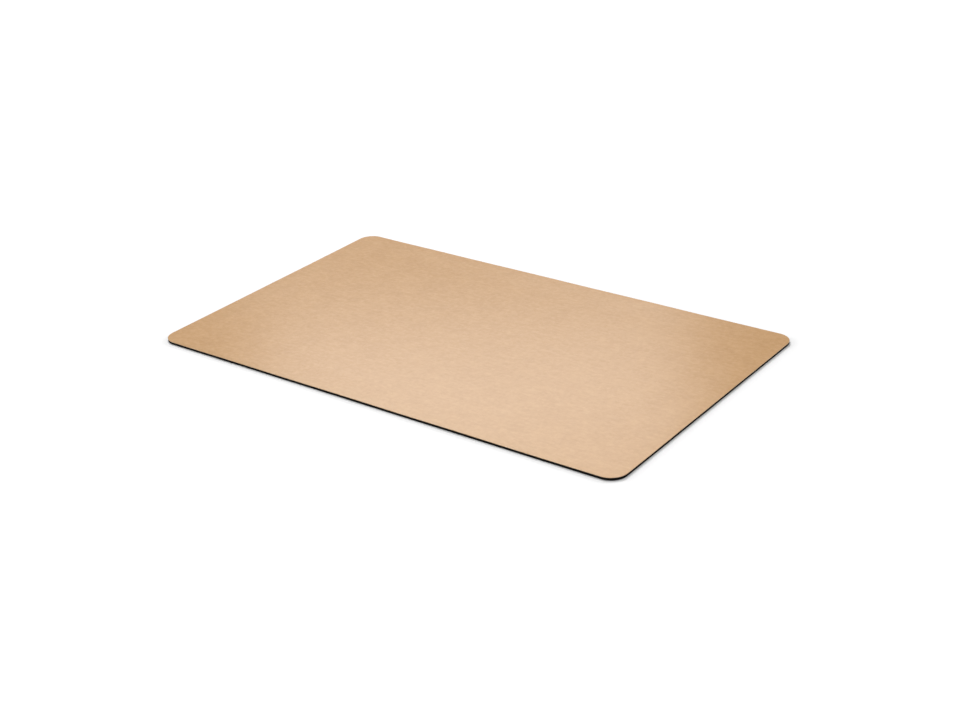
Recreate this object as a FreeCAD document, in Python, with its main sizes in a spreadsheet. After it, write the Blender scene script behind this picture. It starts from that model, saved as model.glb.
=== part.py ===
"""Desk mat: a kraft paper face bonded by an adhesive film to a foam rubber base, die-cut as one laminate.

Millimetres. +X runs along the long side, +Y from the user towards the back of the desk, +Z up.
The origin lies on the desk, under the middle of the mat.
"""

import FreeCAD, Part
import math
import os

import Sketcher

# Driving dimensions, each one a cell of the sheet.
DIMENSIONS = {
    "mat_length": 585.0,
    "mat_depth": 360.0,
    "corner_radius": 18.0,
    "base_thickness": 2.5,
    "film_thickness": 0.1,
    "paper_thickness": 0.4,
    "base_rim_radius": 0.4,
    "paper_rim_radius": 0.12,
}

# The height of each layer's underside, as an expression on the sheet's cells.
ON_THE_DESK = "0 mm"
ON_THE_BASE = "sheet.base_thickness * 1 mm"
ON_THE_FILM = "(sheet.base_thickness + sheet.film_thickness) * 1 mm"

UP = FreeCAD.Vector(0, 0, 1)
DOWN = FreeCAD.Vector(0, 0, -1)

# Point numbers of a sketch's arc or line, and the sketch's own origin.
START, END, CENTRE = 1, 2, 3
ORIGIN = (-1, 1)


def make_sheet(doc):
    """The spreadsheet that holds the driving dimensions, one alias to a cell."""
    sheet = doc.addObject("Spreadsheet::Sheet", "sheet")
    for row, (name, value) in enumerate(DIMENSIONS.items(), start=1):
        sheet.set(f"A{row}", name)
        sheet.set(f"B{row}", str(value))
        sheet.setAlias(f"B{row}", name)
    doc.recompute()
    return sheet


def origin_plane(body, role):
    """One of the body's own origin planes, such as XY_Plane."""
    return next(plane for plane in body.Origin.OriginFeatures if plane.Role == role)


def corner_arcs(sheet):
    """The outline's four corner arcs, counter-clockwise from the front right one."""
    radius = sheet.corner_radius
    reach_x = sheet.mat_length / 2 - radius
    reach_y = sheet.mat_depth / 2 - radius
    arcs = []
    for quarter, (side_x, side_y) in enumerate([(1, -1), (1, 1), (-1, 1), (-1, -1)]):
        centre = FreeCAD.Vector(side_x * reach_x, side_y * reach_y, 0)
        start = math.radians(90 * quarter - 90)
        end = start + math.radians(90)
        arcs.append(Part.ArcOfCircle(Part.Circle(centre, UP, radius), start, end))
    return arcs


def rounded_outline(body, name, sheet):
    """A sketch of the die's outline: a rectangle about the origin whose corners are tangent arcs."""
    sketch = body.newObject("Sketcher::SketchObject", name)
    sketch.AttachmentSupport = [(origin_plane(body, "XY_Plane"), "")]
    sketch.MapMode = "FlatFace"

    corners = corner_arcs(sheet)
    arcs = [sketch.addGeometry(corner, False) for corner in corners]
    sides = []
    for corner, following in zip(corners, corners[1:] + corners[:1]):
        side = Part.LineSegment(corner.EndPoint, following.StartPoint)
        sides.append(sketch.addGeometry(side, False))
    right, back, left, front = sides

    def constrain(*terms):
        return sketch.addConstraint(Sketcher.Constraint(*terms))

    def drive(label, alias, *terms):
        sketch.renameConstraint(constrain(*terms), label)
        sketch.setExpression(f"Constraints.{label}", f"sheet.{alias} * 1 mm")

    for arc, side, following in zip(arcs, sides, arcs[1:] + arcs[:1]):
        constrain("Tangent", arc, END, side, START)
        constrain("Tangent", side, END, following, START)
    for side in (left, right):
        constrain("Vertical", side)
    for side in (front, back):
        constrain("Horizontal", side)
    for arc in arcs[1:]:
        constrain("Equal", arcs[0], arc)
    constrain("Symmetric", arcs[0], CENTRE, arcs[2], CENTRE, *ORIGIN)

    drive("corner", "corner_radius", "Radius", arcs[0], sheet.corner_radius)
    drive("length", "mat_length", "DistanceX", left, START, right, START, sheet.mat_length)
    drive("depth", "mat_depth", "DistanceY", front, START, back, START, sheet.mat_depth)
    return sketch


def make_layer(doc, sheet, label, thickness_alias, underside):
    """One layer of the laminate: the die's outline padded upwards, lying at its own height."""
    body = doc.addObject("PartDesign::Body", label)
    body.Label = label
    layer = body.newObject("PartDesign::Pad", f"{label}_pad")
    layer.Profile = rounded_outline(body, f"{label}_outline", sheet)
    layer.setExpression("Length", f"sheet.{thickness_alias} * 1 mm")
    body.setExpression("Placement.Base.z", underside)
    doc.recompute()
    return body


def flat_face(feature, direction):
    """The name of the feature's flat face whose outward normal is the given direction."""
    for number, face in enumerate(feature.Shape.Faces, start=1):
        if isinstance(face.Surface, Part.Plane) and face.normalAt(0, 0).isEqual(direction, 1e-6):
            return f"Face{number}"
    raise ValueError(f"{feature.Name} has no flat face towards {direction}")


def round_rim(doc, body, direction, radius_alias):
    """Rounds the whole rim of the layer's upper or lower face."""
    layer = body.Tip
    rim = body.newObject("PartDesign::Fillet", f"{body.Name}_rim")
    rim.Base = (layer, [flat_face(layer, direction)])
    rim.setExpression("Radius", f"sheet.{radius_alias} * 1 mm")
    doc.recompute()


def make_rubber_base(doc, sheet):
    """Black foam rubber, which grips the desk. The die drags its lower rim round."""
    body = make_layer(doc, sheet, "rubber_base", "base_thickness", ON_THE_DESK)
    round_rim(doc, body, DOWN, "base_rim_radius")
    return body


def make_adhesive_film(doc, sheet):
    """Laminating film, cut flush with the layers it joins."""
    return make_layer(doc, sheet, "adhesive_film", "film_thickness", ON_THE_BASE)


def make_kraft_paper_face(doc, sheet):
    """Heavy kraft paper, the writing and mousing surface. The die presses its upper rim round."""
    body = make_layer(doc, sheet, "kraft_paper_face", "paper_thickness", ON_THE_FILM)
    round_rim(doc, body, UP, "paper_rim_radius")
    return body


def check(doc, bodies):
    """Stops on a failed object, a loose sketch, or a sub-part whose shape is null or invalid."""
    for item in doc.Objects:
        if "Invalid" in item.State or "Error" in item.State:
            raise RuntimeError(f"{item.Label} failed: {item.State}")
        if item.TypeId == "Sketcher::SketchObject" and not item.FullyConstrained:
            raise RuntimeError(f"{item.Label} is not fully constrained")
    for body in bodies:
        if body.Shape.isNull() or not body.Shape.isValid():
            raise RuntimeError(f"{body.Label} has no valid shape")


def export(bodies):
    """One STEP file to a sub-part, named by its label."""
    os.makedirs("parts", exist_ok=True)
    for body in bodies:
        body.Shape.exportStep(f"parts/{body.Label}.step")
        box = body.Shape.optimalBoundingBox()
        size = f"{box.XLength:.2f} x {box.YLength:.2f} x {box.ZLength:.2f} mm"
        print(f"{body.Label}: {size}, underside at {box.ZMin:.2f} mm, {body.Shape.Volume / 1000:.2f} cm3")


def main():
    doc = FreeCAD.newDocument("desk_mat")
    sheet = make_sheet(doc)
    bodies = [
        make_rubber_base(doc, sheet),
        make_adhesive_film(doc, sheet),
        make_kraft_paper_face(doc, sheet),
    ]
    doc.recompute()
    check(doc, bodies)
    export(bodies)


main()
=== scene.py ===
"""The looks of the desk mat: a kraft paper face, a line of adhesive and a black foam rubber base.

Metres, in the frame of the CAD model: +X along the long side, +Y to the back, +Z up, the desk at z = 0.
The three layers share one outline and one gently uneven lay, so they stay bonded to each other all over.
"""

import math

import bpy
import numpy as np
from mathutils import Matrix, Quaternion, Vector
from mathutils.geometry import delaunay_2d_cdt


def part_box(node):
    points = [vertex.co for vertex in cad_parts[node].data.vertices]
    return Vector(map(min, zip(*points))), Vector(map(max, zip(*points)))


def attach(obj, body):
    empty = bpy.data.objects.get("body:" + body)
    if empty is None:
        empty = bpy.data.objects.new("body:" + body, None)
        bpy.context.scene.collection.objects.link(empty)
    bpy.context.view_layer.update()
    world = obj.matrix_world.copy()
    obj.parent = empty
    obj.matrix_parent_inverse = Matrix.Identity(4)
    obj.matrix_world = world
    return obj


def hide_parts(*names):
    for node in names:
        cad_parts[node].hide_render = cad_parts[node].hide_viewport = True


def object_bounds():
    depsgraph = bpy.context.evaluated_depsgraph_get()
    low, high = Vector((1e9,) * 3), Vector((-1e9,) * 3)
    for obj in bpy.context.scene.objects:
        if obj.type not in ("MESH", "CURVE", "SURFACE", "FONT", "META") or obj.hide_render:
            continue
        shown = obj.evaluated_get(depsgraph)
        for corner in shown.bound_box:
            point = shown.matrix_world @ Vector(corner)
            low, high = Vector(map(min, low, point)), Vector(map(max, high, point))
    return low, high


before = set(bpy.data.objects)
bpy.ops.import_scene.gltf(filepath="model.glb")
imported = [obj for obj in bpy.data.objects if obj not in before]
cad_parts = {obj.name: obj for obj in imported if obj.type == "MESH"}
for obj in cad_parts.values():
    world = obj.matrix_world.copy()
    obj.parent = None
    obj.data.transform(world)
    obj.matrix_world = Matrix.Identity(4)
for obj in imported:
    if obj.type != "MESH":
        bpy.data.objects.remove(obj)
cad_low, cad_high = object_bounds()

MM = 0.001

# The outline.
HALF_LENGTH = cad_high.x
HALF_DEPTH = cad_high.y


def corner_radius():
    """The corners' radius, from where the straight back edge of a CAD layer ends."""
    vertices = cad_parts["adhesive_film"].data.vertices
    back_edge = [v.co.x for v in vertices if v.co.y > HALF_DEPTH - 0.01 * MM]
    return HALF_LENGTH - max(back_edge)


RADIUS = corner_radius()

# The grid that fills the outline: the cells of its middle, and the rows that share out each corner.
CELL_X = 4.5 * MM
CELL_Y = 1.0 * MM
CORNER_ROWS = 28

# The coarse mesh of a bonded side: its cell, the closest that two points may lie, and the triangulation's
# setting that keeps only what is inside the outline.
HIDDEN_CELL = 15 * MM
CLOSEST_POINTS = 1e-9
INSIDE_ONLY = 1

# How the mat lies: each corner's lift and how far in it reaches, the curl of the rim, and its waviness.
CORNER_LIFTS = {(-1, -1): 0.30 * MM, (1, -1): 0.30 * MM, (1, 1): 0.05 * MM, (-1, 1): 0.45 * MM}
LIFT_REACH = 85 * MM
RIM_CURL = 0.17 * MM
RIM_WAVE = 0.16 * MM
RIM_WAVE_LENGTH_X = 150 * MM
RIM_WAVE_LENGTH_Y = RIM_WAVE_LENGTH_X / 1.3
CURL_REACH = 45 * MM

# The paper's rim, which the die presses round, and how far in its flat edge and its cockled face begin.
PAPER_RIM = 0.12 * MM
PAPER_EDGE_INSET = 2 * PAPER_RIM
PAPER_FACE_INSET = 6 * PAPER_RIM

# The cockle of the paper's face: its height, and the length and direction in radians of each of its waves.
# Along its crests a wave sways by up to COCKLE_SWAY radians, a radian to each COCKLE_SWAY_LENGTH lengths.
COCKLE = 0.012 * MM
COCKLE_SWAY = 0.8
COCKLE_SWAY_LENGTH = 0.9
COCKLE_WAVES = [(23 * MM, 0.4), (31 * MM, 1.9), (41 * MM, 2.6), (17 * MM, 4.0), (57 * MM, 5.3)]

# The rubber: its lower rim, which the die drags round, how far in its flat edge and its ribbed underside
# begin, and the hollow that the die leaves in its wall.
RUBBER_RIM = 0.4 * MM
RUBBER_EDGE_INSET = 1.5 * RUBBER_RIM
RUBBER_UNDERSIDE_INSET = 3 * RUBBER_RIM
WALL_HOLLOW = 0.10 * MM

# The wavy ribs underneath.
RIB_PITCH = 7 * MM
RIB_DEPTH = 0.35 * MM
RIB_SWING = 4 * MM
RIB_SWING_LENGTH = 42 * MM

# The width over which the cockle and the ribs rise, and how much of it passes before the ribs begin.
PLAIN_RIM = 3 * MM
RIBS_START = 0.3

# How many steps a rounded edge and the rubber's wall have.
ARC_STEPS = 5
WALL_STEPS = 6

# A layer's materials by number: its face, and the edge that the die cut. The film has only the first.
FACE = 0
CUT_EDGE = 1


# ---------------------------------------------------------------- shape


def smooth(t):
    """0 below 0, 1 above 1, with no corner in between."""
    t = np.clip(t, 0, 1)
    return t * t * (3 - 2 * t)


def rim_distance(x, y):
    """How far in from the outline a point is."""
    out_x = np.maximum(np.abs(x) - (HALF_LENGTH - RADIUS), 0)
    out_y = np.maximum(np.abs(y) - (HALF_DEPTH - RADIUS), 0)
    from_straight = np.minimum(HALF_LENGTH - np.abs(x), HALF_DEPTH - np.abs(y))
    in_corner = (out_x > 0) & (out_y > 0)
    return np.where(in_corner, RADIUS - np.hypot(out_x, out_y), from_straight)


def lay(x, y):
    """How far the mat stands off the desk: flat in the middle, lifted at the corners, curled at the rim."""
    height = np.zeros_like(x)
    for (side_x, side_y), lift in CORNER_LIFTS.items():
        away = np.hypot(x - side_x * HALF_LENGTH, y - side_y * HALF_DEPTH)
        height += lift * np.clip(1 - away / LIFT_REACH, 0, 1) ** 2
    along_x = np.sin(2 * math.pi * x / RIM_WAVE_LENGTH_X)
    along_y = np.cos(2 * math.pi * y / RIM_WAVE_LENGTH_Y)
    wave = 0.5 + 0.5 * along_x * along_y
    return height + (RIM_CURL + RIM_WAVE * wave) * smooth(1 - rim_distance(x, y) / CURL_REACH)


def cockle(x, y):
    """The slight unevenness of the paper's face, as of a sheet that was once damp with glue."""
    height = np.zeros_like(x)
    for length, turn in COCKLE_WAVES:
        along = x * math.cos(turn) + y * math.sin(turn)
        across = y * math.cos(turn) - x * math.sin(turn)
        sway = COCKLE_SWAY * np.sin(across / (COCKLE_SWAY_LENGTH * length) + 3 * turn)
        height += np.sin(2 * math.pi * along / length + sway + turn)
    return COCKLE * height / len(COCKLE_WAVES) ** 0.5 * smooth(rim_distance(x, y) / PLAIN_RIM)


def ribs(x, y):
    """The depth of the wavy grooves moulded into the underside. They fade out before the cut rim."""
    swing = RIB_SWING * np.sin(2 * math.pi * x / RIB_SWING_LENGTH)
    groove = 0.5 - 0.5 * np.cos(2 * math.pi * (y + swing) / RIB_PITCH)
    return RIB_DEPTH * groove * smooth(rim_distance(x, y) / PLAIN_RIM - RIBS_START)


def outline_grid(inset):
    """Rows and columns of points that fill the inset outline. Each row is as wide as the outline there."""
    straight_x = HALF_LENGTH - RADIUS
    straight_y = HALF_DEPTH - RADIUS
    radius = RADIUS - inset
    angles = np.linspace(0, math.pi / 2, CORNER_ROWS + 1)[1:]
    corner_y = straight_y + radius * np.sin(angles)
    corner_width = straight_x + radius * np.cos(angles)
    middle_y = np.linspace(-straight_y, straight_y, round(2 * straight_y / CELL_Y) + 1)
    middle_width = np.full_like(middle_y, straight_x + radius)
    y = np.concatenate([-corner_y[::-1], middle_y, corner_y])
    width = np.concatenate([corner_width[::-1], middle_width, corner_width])
    across = np.linspace(-1, 1, round(2 * HALF_LENGTH / CELL_X) + 1)
    return np.stack([width[:, None] * across, np.repeat(y[:, None], len(across), axis=1)], axis=-1)


def rim_of(grid):
    """The grid's outer points, counter-clockwise from the front left."""
    return np.concatenate([grid[0, :-1], grid[:-1, -1], grid[-1, :0:-1], grid[:0:-1, 0]])


class Shell:
    """A layer's closed surface, put together from a grid, rings and a cap."""

    def __init__(self):
        self.points = []
        self.faces = []
        self.materials = []

    def add_points(self, flat, height):
        """Points over flat positions, each that much above the lay. Returns their numbers."""
        first = len(self.points)
        x, y = flat[..., 0].ravel(), flat[..., 1].ravel()
        z = np.broadcast_to(np.asarray(height, float).ravel(), x.shape) + lay(x, y)
        self.points.extend(np.stack([x, y, z], axis=1).tolist())
        return np.arange(first, len(self.points)).reshape(flat.shape[:-1])

    def add_faces(self, faces, material):
        self.faces.extend(faces)
        self.materials.extend([material] * len(faces))

    def add_grid(self, grid, height, upwards, material):
        """The grid as faces. Returns its outer points' numbers."""
        number = self.add_points(grid, height)
        corners = [number[:-1, :-1], number[:-1, 1:], number[1:, 1:], number[1:, :-1]]
        quads = np.stack(corners if upwards else corners[::-1], axis=-1).reshape(-1, 4)
        self.add_faces(quads.tolist(), material)
        return rim_of(number)

    def add_ring(self, inset, height):
        """The outline's outer points at an inset and a height."""
        return self.add_points(rim_of(outline_grid(inset)), height)

    def add_wall(self, lower, upper, material):
        """A band of faces between two rings."""
        following = [np.roll(lower, -1), np.roll(upper, -1)]
        quads = np.stack([lower, following[0], following[1], upper], axis=-1)
        self.add_faces(quads.tolist(), material)

    def add_cap(self, ring, height, upwards, material):
        """Closes a ring with a coarse mesh, for a side that is bonded to the next layer."""
        edge = [self.points[number][:2] for number in ring]
        spots_x = np.arange(-HALF_LENGTH, HALF_LENGTH, HIDDEN_CELL)
        spots_y = np.arange(-HALF_DEPTH, HALF_DEPTH, HIDDEN_CELL)
        spots = np.stack(np.meshgrid(spots_x, spots_y), axis=-1).reshape(-1, 2)
        inside = spots[rim_distance(spots[:, 0], spots[:, 1]) > HIDDEN_CELL / 2]
        numbers = np.concatenate([ring, self.add_points(inside, height)])
        flat = [Vector(p) for p in edge] + [Vector(p) for p in inside]
        loop = list(range(len(edge)))
        _, _, triangles, sources, _, _ = delaunay_2d_cdt(flat, [], [loop], INSIDE_ONLY, CLOSEST_POINTS)
        order = 1 if upwards else -1
        faces = [[int(numbers[sources[corner][0]]) for corner in face][::order] for face in triangles]
        self.add_faces(faces, material)

    def build(self, name, materials):
        mesh = bpy.data.meshes.new(name)
        mesh.from_pydata(self.points, [], self.faces)
        for material in materials:
            mesh.materials.append(material)
        mesh.polygons.foreach_set("material_index", self.materials)
        mesh.shade_smooth()
        mesh.validate()
        mesh.update()
        piece = bpy.data.objects.new(name, mesh)
        bpy.context.scene.collection.objects.link(piece)
        return piece


def levels(node):
    """The heights of a CAD layer's underside and top."""
    low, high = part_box(node)
    return low.z, high.z


def arc(radius):
    """A quarter round's points: how far each has come the way the round ends, and the way it starts."""
    turns = np.linspace(0, math.pi / 2, ARC_STEPS + 1)
    return [(radius * (1 - math.cos(t)), radius * math.sin(t)) for t in turns]


def make_paper(face, cut_edge):
    """The paper: a finely gridded face, a rim pressed round by the die, and a raw cut edge."""
    bottom, top = levels("kraft_paper_face")
    shell = Shell()
    on_film = shell.add_ring(0, bottom)
    shell.add_cap(on_film, bottom, upwards=False, material=CUT_EDGE)
    ring = on_film
    for inset, rise in arc(PAPER_RIM):
        following = shell.add_ring(inset, top - PAPER_RIM + rise)
        shell.add_wall(ring, following, CUT_EDGE if rise == 0 else FACE)
        ring = following
    flat_ring = shell.add_ring(PAPER_EDGE_INSET, top)
    shell.add_wall(ring, flat_ring, FACE)
    grid = outline_grid(PAPER_FACE_INSET)
    height = top + cockle(grid[..., 0], grid[..., 1])
    grid_rim = shell.add_grid(grid, height, upwards=True, material=FACE)
    shell.add_wall(flat_ring, grid_rim, FACE)
    return shell.build("kraft_paper", [face, cut_edge])


def make_film(adhesive):
    """The adhesive: a thin even layer, seen only as a line at the cut edge."""
    bottom, top = levels("adhesive_film")
    shell = Shell()
    lower = shell.add_ring(0, bottom)
    upper = shell.add_ring(0, top)
    shell.add_cap(lower, bottom, upwards=False, material=FACE)
    shell.add_wall(lower, upper, FACE)
    shell.add_cap(upper, top, upwards=True, material=FACE)
    return shell.build("adhesive_line", [adhesive])


def make_rubber(skin, cut_edge):
    """The rubber: a ribbed underside, a dragged lower rim and a wall that the die leaves hollow."""
    bottom, top = levels("rubber_base")
    shell = Shell()
    grid = outline_grid(RUBBER_UNDERSIDE_INSET)
    height = bottom + ribs(grid[..., 0], grid[..., 1])
    ring = shell.add_grid(grid, height, upwards=False, material=FACE)
    flat_ring = shell.add_ring(RUBBER_EDGE_INSET, bottom)
    shell.add_wall(ring, flat_ring, FACE)
    ring = flat_ring
    for rise, outwards in arc(RUBBER_RIM):
        following = shell.add_ring(RUBBER_RIM - outwards, bottom + rise)
        shell.add_wall(ring, following, CUT_EDGE)
        ring = following
    for share in np.linspace(0, 1, WALL_STEPS + 1)[1:]:
        inset = WALL_HOLLOW * math.sin(math.pi * share)
        following = shell.add_ring(inset, bottom + RUBBER_RIM + share * (top - bottom - RUBBER_RIM))
        shell.add_wall(ring, following, CUT_EDGE)
        ring = following
    shell.add_cap(ring, top, upwards=True, material=CUT_EDGE)
    return shell.build("foam_rubber_base", [skin, cut_edge])


# ---------------------------------------------------------------- materials


def new_tree(name):
    """A material with an empty node tree, and the tree."""
    material = bpy.data.materials.new(name)
    material.use_nodes = True
    material.node_tree.nodes.clear()
    return material, material.node_tree


def node(tree, kind, inputs=None, output=0, **settings):
    """Adds a node, whose inputs are values or other nodes' sockets. Returns its output socket."""
    made = tree.nodes.new(kind)
    for name, value in settings.items():
        setattr(made, name, value)
    for name, value in (inputs or {}).items():
        if isinstance(value, bpy.types.NodeSocket):
            tree.links.new(value, made.inputs[name])
        else:
            made.inputs[name].default_value = value
    return made.outputs[output]


def place(tree):
    """The place on the mat, in metres."""
    return node(tree, "ShaderNodeTexCoord", output="Object")


def turned(tree, vector, degrees, scale):
    """The place turned about Z, then stretched."""
    spun = node(tree, "ShaderNodeMapping", {"Vector": vector, "Rotation": (0, 0, math.radians(degrees))})
    return node(tree, "ShaderNodeMapping", {"Vector": spun, "Scale": scale})


def noise(tree, vector, scale, detail=2.0, roughness=0.5, distortion=0.0):
    """Noise from 0 to 1, whose features are about 1 / scale across."""
    inputs = {
        "Vector": vector, "Scale": scale, "Detail": detail, "Roughness": roughness, "Distortion": distortion
    }
    return node(tree, "ShaderNodeTexNoise", inputs)


def span(tree, value, low, high, to_low=0.0, to_high=1.0):
    """Stretches low to high over to_low to to_high, smoothly, and holds it there outside."""
    inputs = {"Value": value, "From Min": low, "From Max": high, "To Min": to_low, "To Max": to_high}
    return node(tree, "ShaderNodeMapRange", inputs, interpolation_type="SMOOTHSTEP")


def maths(tree, operation, first, second=0.0):
    return node(tree, "ShaderNodeMath", {0: first, 1: second}, operation=operation)


def vector_maths(tree, operation, first, second=(0, 0, 0), output="Vector"):
    return node(tree, "ShaderNodeVectorMath", {0: first, 1: second}, output=output, operation=operation)


def mix(tree, factor, first, second, blend="MIX"):
    """Mixes two colours."""
    made = tree.nodes.new("ShaderNodeMix")
    made.data_type = "RGBA"
    made.blend_type = blend
    for name, value in (("Factor_Float", factor), ("A_Color", first), ("B_Color", second)):
        socket = next(s for s in made.inputs if s.identifier == name)
        if isinstance(value, bpy.types.NodeSocket):
            tree.links.new(value, socket)
        else:
            socket.default_value = value if name == "Factor_Float" else (*value, 1)
    return next(s for s in made.outputs if s.identifier == "Result_Color")


def tinted(tree, colour, tint, pattern, low, high, strength=1.0):
    """The colour with a tint laid over it, up to that strength as the pattern rises from low to high."""
    return mix(tree, span(tree, pattern, low, high, 0.0, strength), colour, tint)


def bump(tree, height, distance, strength=1.0, normal=None):
    inputs = {"Height": height, "Distance": distance, "Strength": strength}
    if normal is not None:
        inputs["Normal"] = normal
    return node(tree, "ShaderNodeBump", inputs)


def shade(tree, colour, roughness, normal, **constants):
    """The material's one shader. Constants are set on its own sockets."""
    inputs = {"Base Color": colour, "Roughness": roughness, "Normal": normal, **constants}
    surface = tree.nodes.new("ShaderNodeOutputMaterial").inputs["Surface"]
    tree.links.new(node(tree, "ShaderNodeBsdfPrincipled", inputs), surface)


# The fibres' curl, half of a line's width in the noise that draws it, how many breaks there are to a
# fibre's length, and how softly they set in.
FIBRE_CURL = 0.35
FIBRE_LINE = 0.02
FIBRE_BREAKS = 0.37
FIBRE_FADE = 0.06


def fibres(tree, where, degrees, length, width, share):
    """Curly fibres that lie about one way: the contour lines of a stretched noise, broken up by another."""
    stretched = turned(tree, where, degrees, (1 / length, 1 / width, 1 / width))
    field = noise(tree, stretched, 1.0, detail=0, distortion=FIBRE_CURL)
    contour = maths(tree, "ABSOLUTE", maths(tree, "SUBTRACT", field, 0.5))
    line = span(tree, contour, FIBRE_LINE, 0.0)
    breaks = span(tree, noise(tree, stretched, FIBRE_BREAKS, detail=0), 1 - share, 1 - share + FIBRE_FADE)
    return maths(tree, "MULTIPLY", line, breaks)


KRAFT = (0.495, 0.290, 0.132)
KRAFT_DARK = (0.420, 0.234, 0.098)
KRAFT_LIGHT = (0.570, 0.355, 0.178)
FIBRE_DARK = (0.29, 0.150, 0.060)
FIBRE_LIGHT = (0.66, 0.45, 0.25)

# How many of each of the face's markings there are to a metre, and how high they stand.
CLOUDS = 35
MOTTLES = 220
STREAKS = 70
STREAK_STRETCH = 3.5
GRAINS = 1500
SPECKS = 330
FACE_RELIEF = 0.022 * MM

# The satin coat. Where any of it goes above 0.2738, the denoised render comes out blotchy.
COAT_ROUGHNESS = (0.252, 0.272)

# Each layer of fibres: its direction in degrees, a fibre's length and width in millimetres, the share of
# the face that has any, its tint, and how strongly it shows.
FIBRE_LAYERS = [
    (12, 5.0, 0.55, 0.35, FIBRE_DARK, 0.42),
    (-28, 3.4, 0.45, 0.35, FIBRE_LIGHT, 0.26),
    (71, 3.0, 0.50, 0.30, FIBRE_DARK, 0.34),
    (-64, 4.2, 0.50, 0.30, FIBRE_LIGHT, 0.24),
    (34, 1.8, 0.30, 0.40, FIBRE_DARK, 0.28),
]


def kraft_face():
    """Unbleached kraft paper with a satin coat: cloudy, streaked along the sheet and full of fibres."""
    material, tree = new_tree("kraft_face")
    where = place(tree)

    clouds = noise(tree, where, CLOUDS, detail=3, roughness=0.55)
    mottle = noise(tree, where, MOTTLES, detail=4, roughness=0.65)
    drawn_out = turned(tree, where, 0, (1, STREAK_STRETCH, 1))
    streaks = noise(tree, drawn_out, STREAKS, detail=4, roughness=0.65)
    grain = noise(tree, where, GRAINS, detail=2, roughness=0.6)

    colour = tinted(tree, KRAFT, KRAFT_DARK, clouds, 0.25, 0.75, 0.46)
    colour = tinted(tree, colour, KRAFT_LIGHT, mottle, 0.25, 0.75, 0.64)
    colour = tinted(tree, colour, KRAFT_DARK, streaks, 0.3, 0.7, 0.34)
    colour = tinted(tree, colour, KRAFT_LIGHT, grain, 0.35, 0.7, 0.13)

    relief = maths(tree, "MULTIPLY", mottle, 0.2)
    for degrees, length, width, share, tint, strength in FIBRE_LAYERS:
        line = fibres(tree, where, degrees, length * MM, width * MM, share)
        colour = mix(tree, maths(tree, "MULTIPLY", line, strength), colour, tint)
        relief = maths(tree, "ADD", relief, maths(tree, "MULTIPLY", line, 0.35))

    specks = node(tree, "ShaderNodeTexVoronoi", {"Vector": where, "Scale": SPECKS}, output="Distance")
    speck = maths(tree, "MULTIPLY", span(tree, specks, 0.11, 0.05), span(tree, clouds, 0.50, 0.62))
    colour = mix(tree, maths(tree, "MULTIPLY", speck, 0.5), colour, FIBRE_DARK)

    relief = maths(tree, "ADD", relief, maths(tree, "MULTIPLY", grain, 0.5))
    roughness = span(tree, mottle, 0.3, 0.7, *COAT_ROUGHNESS)
    normal = bump(tree, relief, FACE_RELIEF, 0.6)
    shade(tree, colour, roughness, normal, **{"Specular IOR Level": 0.5, "IOR": 1.5})
    return material


# The cut edge's colour is paler than the face. This is partly its raw torn fibre and partly a painted
# highlight that stands in for the bright line of light along the paper's edge.
CUT_KRAFT_WITH_PAINTED_HIGHLIGHT = (0.72, 0.55, 0.38)

# To a metre along the cut edge: its plies, which are PLY_STRETCH times as thin as they are long, and fuzz.
PLIES = 420
PLY_STRETCH = 22
FUZZ = 2600
TORN_RELIEF = 0.03 * MM
TORN_ROUGHNESS = (0.8, 0.95)


def kraft_cut_edge():
    """The raw edge of the paper, where the die leaves torn fibre in layers, paler than the face: partly raw
    fibre, partly a painted highlight along the edge.
    """
    material, tree = new_tree("kraft_cut_edge")
    where = place(tree)
    plies = noise(tree, turned(tree, where, 0, (1, 1, PLY_STRETCH)), PLIES, detail=3, roughness=0.6)
    fuzz = noise(tree, where, FUZZ, detail=2)
    # The cut edge's pale base colour is partly raw fibre and partly a painted highlight along the edge.
    colour = tinted(tree, CUT_KRAFT_WITH_PAINTED_HIGHLIGHT, KRAFT, plies, 0.35, 0.65, 0.6)
    colour = tinted(tree, colour, FIBRE_LIGHT, fuzz, 0.5, 0.7, 0.3)
    normal = bump(tree, maths(tree, "ADD", plies, fuzz), TORN_RELIEF, 0.7)
    roughness = span(tree, fuzz, 0.3, 0.7, *TORN_ROUGHNESS)
    shade(tree, colour, roughness, normal, **{"Specular IOR Level": 0.3})
    return material


ADHESIVE_BROWN = (0.060, 0.042, 0.026)
ADHESIVE_DARK = (0.028, 0.020, 0.014)

# To a metre of adhesive: the beads that it dries in.
BEADS = 700
BEAD_RELIEF = 0.03 * MM
BEAD_ROUGHNESS = (0.35, 0.55)


def adhesive():
    """Cured laminating adhesive: a slightly glossy, uneven brown line."""
    material, tree = new_tree("cured_adhesive")
    beads = noise(tree, place(tree), BEADS, detail=2)
    colour = tinted(tree, ADHESIVE_BROWN, ADHESIVE_DARK, beads, 0.35, 0.65)
    roughness = span(tree, beads, 0.3, 0.7, *BEAD_ROUGHNESS)
    shade(tree, colour, roughness, bump(tree, beads, BEAD_RELIEF, 0.5))
    return material


RUBBER_BLACK = (0.0040, 0.0034, 0.0030)
RUBBER_GREY = (0.0085, 0.0075, 0.0070)
RUBBED_GREY = (0.045, 0.043, 0.041)

# To a metre of cut foam: its open cells, and the faint lines that the die drags down it.
CELLS = 4200
DRAG_LINES = 1300
DRAG_STRETCH = 0.12
CELL_RELIEF = 0.06 * MM
DRAG_RELIEF = 0.05 * MM
FOAM_ROUGHNESS = (0.85, 0.97)


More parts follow.
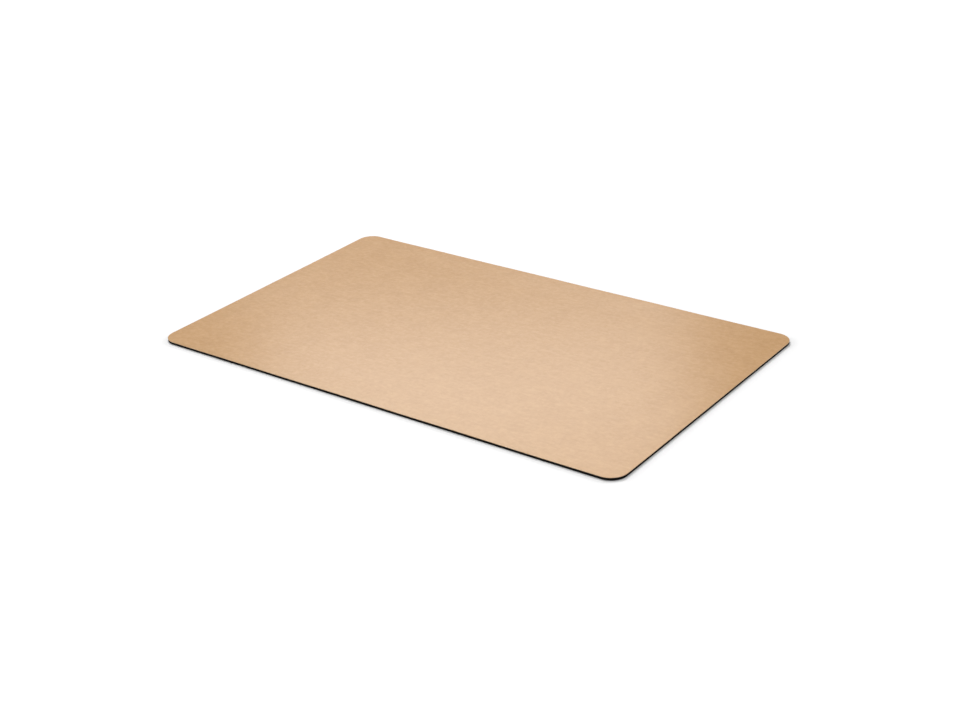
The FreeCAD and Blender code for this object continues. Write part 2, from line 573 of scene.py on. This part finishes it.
def foam_cut_edge():
    """Foam rubber where the die cut it: fine open cells, with a faint vertical drag."""
    material, tree = new_tree("foam_cut_edge")
    where = place(tree)
    cells = node(tree, "ShaderNodeTexVoronoi", {"Vector": where, "Scale": CELLS}, output="Distance")
    drag = noise(tree, turned(tree, where, 0, (1, 1, DRAG_STRETCH)), DRAG_LINES, detail=2)
    colour = tinted(tree, RUBBER_BLACK, RUBBER_GREY, cells, 0.2, 0.6)
    normal = bump(tree, cells, CELL_RELIEF, 0.6)
    normal = bump(tree, drag, DRAG_RELIEF, 0.4, normal)
    roughness = span(tree, drag, 0.3, 0.7, *FOAM_ROUGHNESS)
    shade(tree, colour, roughness, normal, **{"Specular IOR Level": 0.05})
    return material


def between_ribs(tree, where):
    """0 on the crest of a rib, 1 in the bottom of a groove: the same waves as the underside's shape."""
    x = node(tree, "ShaderNodeSeparateXYZ", {"Vector": where}, output="X")
    y = node(tree, "ShaderNodeSeparateXYZ", {"Vector": where}, output="Y")
    wave = maths(tree, "SINE", maths(tree, "MULTIPLY", x, 2 * math.pi / RIB_SWING_LENGTH))
    across = maths(tree, "ADD", y, maths(tree, "MULTIPLY", wave, RIB_SWING))
    turn = maths(tree, "COSINE", maths(tree, "MULTIPLY", across, 2 * math.pi / RIB_PITCH))
    return span(tree, turn, 1, -1)


# To a metre of the underside: the pebbles of its moulded skin, and the patches of dust on it.
PEBBLES = 1600
DUST = 260
PEBBLE_RELIEF = 0.05 * MM
SKIN_ROUGHNESS = (0.6, 0.85)


def foam_skin():
    """The moulded skin of the underside: matt and finely pebbled, rubbed grey on the crests of its ribs."""
    material, tree = new_tree("foam_skin")
    where = place(tree)
    pebbles = node(tree, "ShaderNodeTexVoronoi", {"Vector": where, "Scale": PEBBLES}, output="Distance")
    dust = noise(tree, where, DUST, detail=3, roughness=0.6)
    groove = between_ribs(tree, where)
    rubbed = maths(tree, "MULTIPLY", span(tree, groove, 0.35, 0.0), span(tree, dust, 0.3, 0.7, 0.5, 1.0))
    colour = tinted(tree, RUBBER_GREY, RUBBER_BLACK, pebbles, 0.1, 0.6)
    colour = mix(tree, maths(tree, "MULTIPLY", rubbed, 0.7), colour, RUBBED_GREY)
    normal = bump(tree, pebbles, PEBBLE_RELIEF, 0.5)
    roughness = span(tree, groove, 0.0, 0.6, *SKIN_ROUGHNESS)
    shade(tree, colour, roughness, normal, **{"Specular IOR Level": 0.3})
    return material


WHITE = (1, 1, 1, 1)

# The floor: its size, how white it is, over which distances from the mat its glow rises, and the tooth of
# its card, to a metre and in height.
FLOOR_SIDE = 16.0
FLOOR_WHITE = (0.84, 0.84, 0.84)
FLOOR_GLOW = (0, 0.55)
TOOTH = 900
TOOTH_RELIEF = 0.01 * MM
FLOOR_ROUGHNESS = 0.9


def studio_floor():
    """White card that glows more further out, so that it fades into the white room all round."""
    material, tree = new_tree("studio_floor")
    where = place(tree)
    outwards = vector_maths(tree, "ABSOLUTE", where)
    beyond = vector_maths(tree, "SUBTRACT", outwards, (HALF_LENGTH, HALF_DEPTH, 0))
    away = vector_maths(tree, "LENGTH", vector_maths(tree, "MAXIMUM", beyond), output="Value")
    glow = span(tree, away, *FLOOR_GLOW)
    tooth = noise(tree, where, TOOTH, detail=2)
    constants = {"Specular IOR Level": 0.0, "Emission Color": WHITE, "Emission Strength": glow}
    shade(tree, (*FLOOR_WHITE, 1), FLOOR_ROUGHNESS, bump(tree, tooth, TOOTH_RELIEF, 0.2), **constants)
    return material


# ---------------------------------------------------------------- stage, lights and camera

# Each softbox: its bearing from the mat (0 is the front, 90 the right), its height in degrees, how far it
# stands, its width and height, and its power in watts.
SOFTBOXES = {
    "key_back_left": (232, 52, 4.0, 1.0, 1.0, 80),
    "fill_front": (36, 61, 1.1, 1.6, 1.6, 7.6),
    "sheen_back_left": (217, 30.9, 1.9, 0.96, 0.40, 3.9),
    "low_left": (300, 24, 4.0, 1.5, 0.9, 54),
    "low_back": (150, 24, 4.0, 1.5, 0.9, 54),
}

# The room: how bright it is as a light, and how bright it looks.
ROOM_LIGHT = 0.2
ROOM_LOOK = 1.0

# The camera: what it looks at, where from, how it is tilted, and its lens in millimetres.
AIM = Vector((0.0343, -0.0350, 0.0))
CAMERA_BEARING = 36.90
CAMERA_HEIGHT = 25.81
CAMERA_DISTANCE = 1.733
CAMERA_ROLL = -2.36
CAMERA_LENS = 61.71


def from_bearing(bearing, height):
    """The direction from the mat to something at that bearing, that many degrees up."""
    turn, rise = math.radians(bearing), math.radians(height)
    return Vector((math.sin(turn) * math.cos(rise), -math.cos(turn) * math.cos(rise), math.sin(rise)))


def add_to_scene(name, data):
    made = bpy.data.objects.new(name, data)
    bpy.context.scene.collection.objects.link(made)
    return made


def make_floor():
    mesh = bpy.data.meshes.new("studio_floor")
    half = FLOOR_SIDE / 2
    corners = [(-half, -half, 0), (half, -half, 0), (half, half, 0), (-half, half, 0)]
    mesh.from_pydata(corners, [], [(0, 1, 2, 3)])
    mesh.materials.append(studio_floor())
    floor = add_to_scene("studio_floor", mesh)


def make_softbox(name, bearing, height, distance, width, depth, power):
    light = bpy.data.lights.new(name, "AREA")
    light.shape = "RECTANGLE"
    light.size = width
    light.size_y = depth
    light.energy = power
    lamp = add_to_scene(name, light)
    direction = from_bearing(bearing, height)
    lamp.location = direction * distance
    lamp.rotation_mode = "QUATERNION"
    lamp.rotation_quaternion = direction.to_track_quat("Z", "Y")
    lamp.visible_camera = False


def make_world():
    """A white room that adds only a little light of its own."""
    world = bpy.data.worlds.new("studio")
    world.use_nodes = True
    tree = world.node_tree
    seen = node(tree, "ShaderNodeLightPath", output="Is Camera Ray")
    background = tree.nodes["Background"]
    background.inputs["Color"].default_value = WHITE
    tree.links.new(span(tree, seen, 0, 1, ROOM_LIGHT, ROOM_LOOK), background.inputs["Strength"])
    bpy.context.scene.world = world


def make_camera():
    camera_data = bpy.data.cameras.new("camera")
    camera_data.lens = CAMERA_LENS
    camera = add_to_scene("camera", camera_data)
    back = from_bearing(CAMERA_BEARING, CAMERA_HEIGHT)
    camera.location = AIM + back * CAMERA_DISTANCE
    roll = Quaternion((0, 0, 1), math.radians(CAMERA_ROLL))
    camera.rotation_mode = "QUATERNION"
    camera.rotation_quaternion = back.to_track_quat("Z", "Y") @ roll
    bpy.context.scene.camera = camera


# ---------------------------------------------------------------- the mat

make_camera()

paper = make_paper(kraft_face(), kraft_cut_edge())
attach(paper, "root")
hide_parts("kraft_paper_face")

film = make_film(adhesive())
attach(film, "root")
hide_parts("adhesive_film")

rubber = make_rubber(foam_skin(), foam_cut_edge())
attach(rubber, "root")
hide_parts("rubber_base")

make_floor()
make_world()
for name, settings in SOFTBOXES.items():
    make_softbox(name, *settings)
bpy.context.scene.view_settings.view_transform = "Standard"
